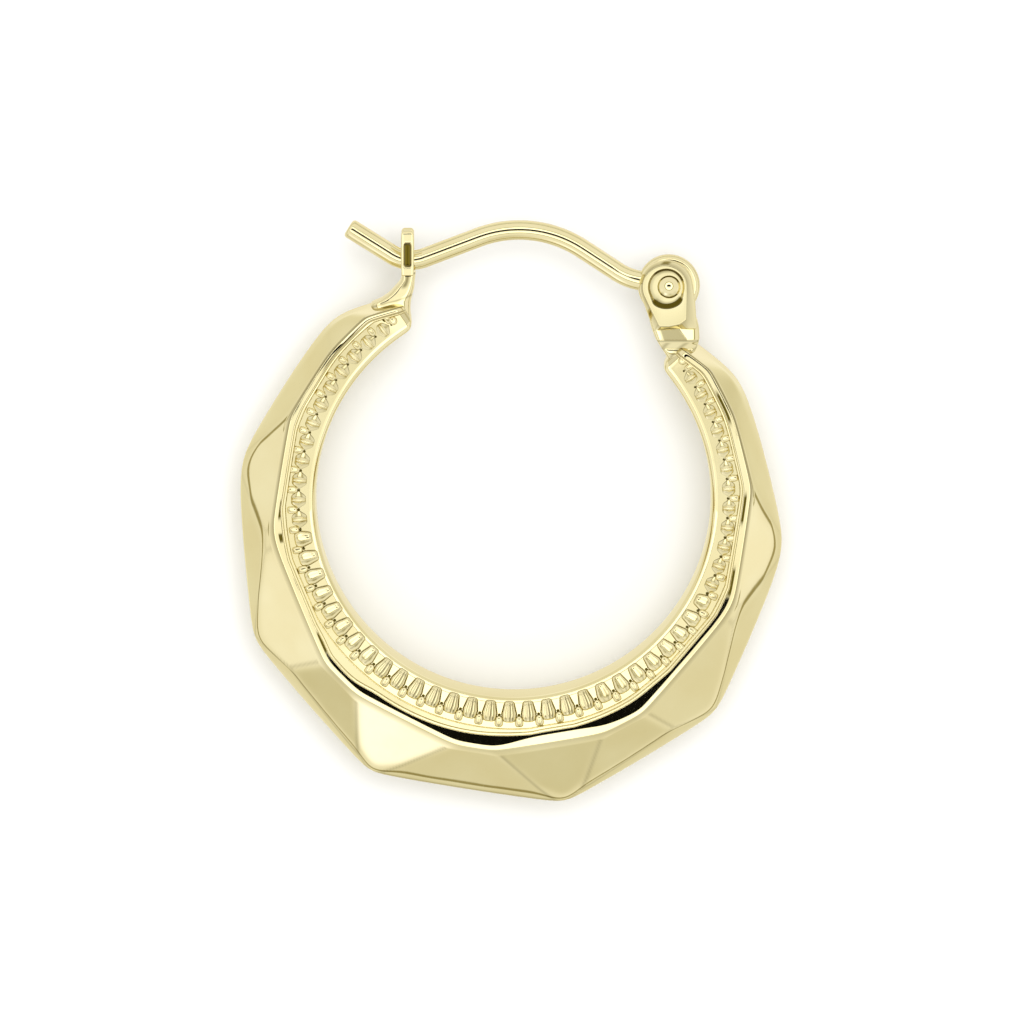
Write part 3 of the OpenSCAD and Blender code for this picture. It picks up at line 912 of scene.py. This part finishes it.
def studio_world(studio, hoop):
    """A light tent seen in the gold, by the angle from the camera: the dark opening, the bright top
    panel, a dim seam and the walls, with a dim line at the horizon and soft patches that are brighter or
    dimmer."""
    world = bpy.data.worlds.new("light tent")
    bpy.context.scene.world = world
    world.use_nodes = True
    tree = world.node_tree
    back = tree.nodes["Background"]
    back.inputs["Strength"].default_value = studio.tent_strength
    place = node_of(tree, "TexCoord")

    def maths(kind, a, b=None):
        node = node_of(tree, "Math", operation=kind)
        for socket, value in zip(node.inputs, (a, b)):
            if isinstance(value, (int, float)):
                socket.default_value = value
            elif value is not None:
                tree.links.new(value, socket)
        return node.outputs[0]

    def toward(way):
        node = node_of(tree, "VectorMath", {1: way}, operation="DOT_PRODUCT")
        tree.links.new(place.outputs["Generated"], node.inputs[0])
        return node.outputs["Value"]

    def within(share, half):
        return maths("POWER", maths("DIVIDE", maths("ABSOLUTE", share), math.sin(half)), 4)

    tilt, widest = studio.camera_tilt, PANELS[-1][0]
    angle = maths("ARCCOSINE", toward((0.0, math.sin(tilt), math.cos(tilt))))
    angle = maths("DIVIDE", angle, math.radians(widest))
    panels = ramp_of(tree, angle, [(at / widest, colour) for at, colour in PANELS])
    height = maths("MULTIPLY", maths("ADD", toward((0, 0, 1)), 1.0), 0.5)
    walls = ramp_of(tree, height, [((1 + math.sin(math.radians(at))) / 2, colour) for at, colour in WALLS])
    bright = 1.0
    for way, amount, width in wall_patches(hoop, tilt):
        tight = 1 / (1 - math.cos(math.radians(width)))
        lobe = maths("EXPONENT", maths("MULTIPLY", maths("SUBTRACT", toward(way), 1.0), tight))
        bright = maths("ADD", maths("MULTIPLY", lobe, amount), bright)
    lean = tilt + studio.opening_lean
    across = maths("ADD", toward((1, 0, 0)), math.sin(studio.opening_left))
    along = toward((0, math.cos(lean), -math.sin(lean)))
    outside = maths("ADD", within(across, studio.opening_width), within(along, studio.opening_height))
    edge = node_of(tree, "MapRange", {"From Min": 0.9, "From Max": 1.12, "To Min": 0.004, "To Max": 1.0})
    opened = maths("MAXIMUM", edge.outputs["Result"], maths("LESS_THAN", toward((0, 0, 1)), 0.0))
    tint = node_of(tree, "CombineXYZ")
    for socket, power in zip(tint.inputs, (1.0, 1.06, 1.5)):
        tree.links.new(maths("POWER", bright, power), socket)
    both = node_of(tree, "VectorMath", operation="MULTIPLY")
    toned = node_of(tree, "VectorMath", operation="MULTIPLY")
    shade = node_of(tree, "VectorMath", operation="SCALE")
    link(
        tree,
        outside, edge.inputs["Value"],
        panels, both.inputs[0],
        walls, both.inputs[1],
        both.outputs["Vector"], toned.inputs[0],
        tint.outputs["Vector"], toned.inputs[1],
        toned.outputs["Vector"], shade.inputs[0],
        opened, shade.inputs["Scale"],
        shade.outputs["Vector"], back.inputs["Color"],
    )


# The floor's half width in m, the lamp's place in m and the point that the camera looks at in mm
FLOOR_HALF = 4.0
LAMP_PLACE = Vector((0.15, 0.35, 0.9))
CAMERA_AIM = Vector((0.0, 0.027, 1.6))


def add_floor(studio):
    """A pale matte floor that the gold doesn't mirror."""
    half = FLOOR_HALF
    mesh = bpy.data.meshes.new("studio_floor")
    corners = [(-half, -half, 0), (half, -half, 0), (half, half, 0), (-half, half, 0)]
    mesh.from_pydata(corners, [], [(0, 1, 2, 3)])
    floor = add_object("studio_floor", mesh)
    paper = bpy.data.materials.new("pale paper")
    paper.use_nodes = True
    shader = paper.node_tree.nodes["Principled BSDF"]
    shader.inputs["Base Color"].default_value = (*studio.floor_tone, 1)
    shader.inputs["Roughness"].default_value = 0.9
    shader.inputs["Specular IOR Level"].default_value = 0.1
    mesh.materials.append(paper)
    floor.visible_glossy = False


def add_lamp():
    """A round panel over the earring, which the gold doesn't mirror."""
    lamp = bpy.data.lights.new("overhead panel", "AREA")
    lamp.shape = "DISK"
    lamp.size = 0.9
    lamp.energy = 2.6
    panel = add_object("overhead panel", lamp)
    panel.location = LAMP_PLACE
    panel.rotation_euler = (-LAMP_PLACE).to_track_quat("-Z", "Y").to_euler()
    panel.visible_glossy = False


def add_camera(studio):
    """The camera, which leans toward +Y and shows about 27 pixels to the mm."""
    lens = bpy.data.cameras.new("camera")
    lens.lens = 474.6
    lens.sensor_width = 36.0
    lens.clip_start = 0.01
    lens.clip_end = 100.0
    camera = add_object("camera", lens)
    back = Vector((0, math.sin(studio.camera_tilt), math.cos(studio.camera_tilt)))
    camera.location = CAMERA_AIM * MM + back * studio.camera_away
    camera.rotation_euler = (-studio.camera_tilt, 0, 0)
    bpy.context.scene.camera = camera


# Add-on


def size_property(name, description, mm):
    """A length, with its default in mm."""
    return bpy.props.FloatProperty(
        name=name, description=description, default=mm * MM, unit="LENGTH", precision=6
    )


def angle_property(name, description, degrees):
    """An angle, with its default in degrees."""
    return bpy.props.FloatProperty(
        name=name, description=description, default=math.radians(degrees), unit="ROTATION"
    )


def colour_property(name, description, colour):
    """A colour."""
    return bpy.props.FloatVectorProperty(
        name=name, description=description, default=colour, subtype="COLOR", size=3, min=0, max=1
    )


class EarringHoop(bpy.types.PropertyGroup):
    """Sizes of the hoop."""

    inner_radius: size_property("Inside radius", "From the axis to the inside of the hoop", 7.31)
    belly_half: size_property("Half thickness", "Half of the thickness at the belly, over the lips", 1.60)
    end_taper: bpy.props.FloatProperty(
        name="Taper", description="Share of the thickness lost toward the ends", default=0.30,
        subtype="FACTOR", min=0, max=0.9,
    )
    belly_angle: angle_property("Belly direction", "Counterclockwise from +X", 261)
    half_span: angle_property("Half span", "Angle from the belly to each end", 141.5)
    rim_height: size_property("Rim height", "Height of the rim above the band of ridges", 0.22)
    rim_tilt: angle_property("Rim tilt", "How far the rim's flat leans inward", 7.5)
    rail_width: size_property("Rail", "Width of each of the two steps between the band and the rim", 0.115)
    lip_band: size_property("Lip band", "Width of the band between the rim's flat and the facets", 0.19)
    crease_soft: size_property("Crease softness", "Softness of the edges between the facets", 0.03)
    ridge_count: bpy.props.IntProperty(
        name="Ridges", description="Steps of the band round the hoop", default=54, min=2
    )
    ridge_height: size_property("Ridge height", "Height of a ridge above the ground of the band", 0.15)
    bead_height: size_property("Bead height", "Height of a bead above the ground of the band", 0.115)


class EarringHinge(bpy.types.PropertyGroup):
    """Sizes of the hinge."""

    ear_gap: size_property("Gap", "Space between the two ears", 0.84)
    ear_thickness: size_property("Ear", "Thickness of an ear", 0.35)
    head_radius: size_property("Rivet head", "Radius of the rivet's heads", 0.43)
    head_rise: size_property("Head rise", "Height of a head's dome", 0.22)


class EarringCatch(bpy.types.PropertyGroup):
    """Sizes of the catch."""

    fork_gap: size_property("Gap", "Space between the prongs", 0.84)
    prong_thickness: size_property("Prong", "Thickness of a prong", 0.28)
    prong_width: size_property("Prong width", "Width of a prong across the wire's run", 0.46)
    prong_top: size_property("Prong top", "Height of the prongs' tops above the hoop's axis", 9.97)
    dimple_depth: size_property("Dimple", "Depth of the dimple in each prong", 0.10)


class EarringWire(bpy.types.PropertyGroup):
    """Sizes of the ear wire."""

    thickness: size_property("Thickness", "Thickness of the wire", 0.73)
    eye_radius: size_property("Eye radius", "Radius of the flat eye on the rivet", 1.15)


class EarringFinish(bpy.types.PropertyGroup):
    """Colours of the gold."""

    light_gold: colour_property("Light gold", "The paler of the two golds", (0.81, 0.73, 0.435))
    deep_gold: colour_property("Deep gold", "The deeper of the two golds", (0.78, 0.69, 0.39))


class EarringStudio(bpy.types.PropertyGroup):
    """The floor, the light and the camera."""

    camera_tilt: angle_property("Camera tilt", "How far the camera leans from straight above toward +Y", 6)
    camera_away: size_property("Camera distance", "From the camera to the middle of the earring", 500)
    opening_width: angle_property("Opening width", "Half of the angle of the dark opening sideways", 14.9)
    opening_height: angle_property("Opening height", "Half of its angle the other way", 8.8)
    opening_lean: angle_property("Opening lean", "How far its middle is from the camera toward +Y", 3.2)
    opening_left: angle_property("Opening left", "How far its middle is from the camera toward -X", 0.4)
    tent_strength: bpy.props.FloatProperty(
        name="Tent brightness", description="Brightness of the light tent", default=2.0, min=0
    )
    floor_tone: colour_property("Floor", "Colour of the floor", (0.93, 0.93, 0.93))


class EARRING_OT_hoop(bpy.types.Operator):
    """Make the faceted hoop with its rim and the ground of its band"""

    bl_idname = "earring.hoop"
    bl_label = "Hoop"

    def execute(self, context):
        hoop = context.scene.earring_hoop
        gold = finish_of("polished gold")
        make_piece("faceted_hoop", [hoop_part(hoop)], gold, "hoop", "hoop")
        return {"FINISHED"}


class EARRING_OT_band(bpy.types.Operator):
    """Make the ridges and the beads of the band on both faces"""

    bl_idname = "earring.band"
    bl_label = "Ridges and beads"

    def execute(self, context):
        hoop = context.scene.earring_hoop
        gold = finish_of("cast gold")
        make_piece("band_ridges", ridge_parts(hoop), gold, "hoop", "hoop")
        make_piece("band_beads", bead_parts(hoop), gold, "hoop", "hoop")
        return {"FINISHED"}


class EARRING_OT_hinge(bpy.types.Operator):
    """Make the two ears, their neck and the rivet"""

    bl_idname = "earring.hinge"
    bl_label = "Hinge"

    def execute(self, context):
        hinge = context.scene.earring_hinge
        gold = finish_of("polished gold")
        ears = [ear_part(1, hinge), ear_part(-1, hinge)]
        neck = box_loft(NECK_LEVELS, 200, 9.0, neck_tone, neck_fall)
        make_piece("hinge_ears", ears, gold, "hoop", "hoop")
        make_piece("hinge_neck", [neck], gold, "hoop", "hoop")
        make_piece("rivet_heads", [rivet_part(hinge)], gold, "hoop", "hinge_rivet", crease=50)
        return {"FINISHED"}


class EARRING_OT_catch(bpy.types.Operator):
    """Make the forked catch and its stem"""

    bl_idname = "earring.catch"
    bl_label = "Catch"

    def execute(self, context):
        catch = context.scene.earring_catch
        gold = finish_of("polished gold")
        prongs = [prong_part(1, catch), prong_part(-1, catch)]
        stem = box_loft(STEM_LEVELS, 96, 5.0, stem_tone)
        make_piece("catch_prongs", prongs, gold, "hoop", "hoop")
        make_piece("catch_stem", [stem], gold, "hoop", "hoop")
        return {"FINISHED"}


class EARRING_OT_wire(bpy.types.Operator):
    """Make the ear wire and its eye"""

    bl_idname = "earring.wire"
    bl_label = "Ear wire"

    def execute(self, context):
        wire = context.scene.earring_wire
        gold = finish_of("drawn gold")
        make_piece("ear_wire_bar", [wire_part(wire)], gold, "wire", "ear_wire")
        make_piece("ear_wire_eye", [eye_part(wire)], gold, "wire", "ear_wire")
        return {"FINISHED"}


class EARRING_OT_studio(bpy.types.Operator):
    """Make the floor, the light tent and the camera"""

    bl_idname = "earring.studio"
    bl_label = "Studio"

    def execute(self, context):
        scene = context.scene
        add_floor(scene.earring_studio)
        studio_world(scene.earring_studio, scene.earring_hoop)
        add_lamp()
        add_camera(scene.earring_studio)
        scene.view_settings.view_transform = "Standard"
        return {"FINISHED"}


class EARRING_PT_panel(bpy.types.Panel):
    """Lists the pieces of the earring"""

    bl_idname = "EARRING_PT_panel"
    bl_label = "Earring"
    bl_space_type = "VIEW_3D"
    bl_region_type = "UI"
    bl_category = "Earring"

    def draw(self, context):
        for part in PIECES:
            self.layout.operator(part.bl_idname)
        for group in GROUPS:
            box = self.layout.box()
            values = getattr(context.scene, group)
            for key in values.bl_rna.properties.keys():
                if key not in ("rna_type", "name"):
                    box.prop(values, key)


PIECES = (
    EARRING_OT_studio,
    EARRING_OT_hoop,
    EARRING_OT_band,
    EARRING_OT_hinge,
    EARRING_OT_catch,
    EARRING_OT_wire,
)
GROUPS = {
    "earring_hoop": EarringHoop,
    "earring_hinge": EarringHinge,
    "earring_catch": EarringCatch,
    "earring_wire": EarringWire,
    "earring_finish": EarringFinish,
    "earring_studio": EarringStudio,
}


def register():
    for part in (*GROUPS.values(), *PIECES, EARRING_PT_panel):
        bpy.utils.register_class(part)
    for name, group in GROUPS.items():
        setattr(bpy.types.Scene, name, bpy.props.PointerProperty(type=group))


def unregister():
    for name in GROUPS:
        delattr(bpy.types.Scene, name)
    for part in reversed((*GROUPS.values(), *PIECES, EARRING_PT_panel)):
        bpy.utils.unregister_class(part)


def main():
    register()
    bpy.ops.earring.studio()
    bpy.ops.earring.hoop()
    bpy.ops.earring.band()
    bpy.ops.earring.hinge()
    bpy.ops.earring.catch()
    bpy.ops.earring.wire()


if __name__ == "__main__":
    main()
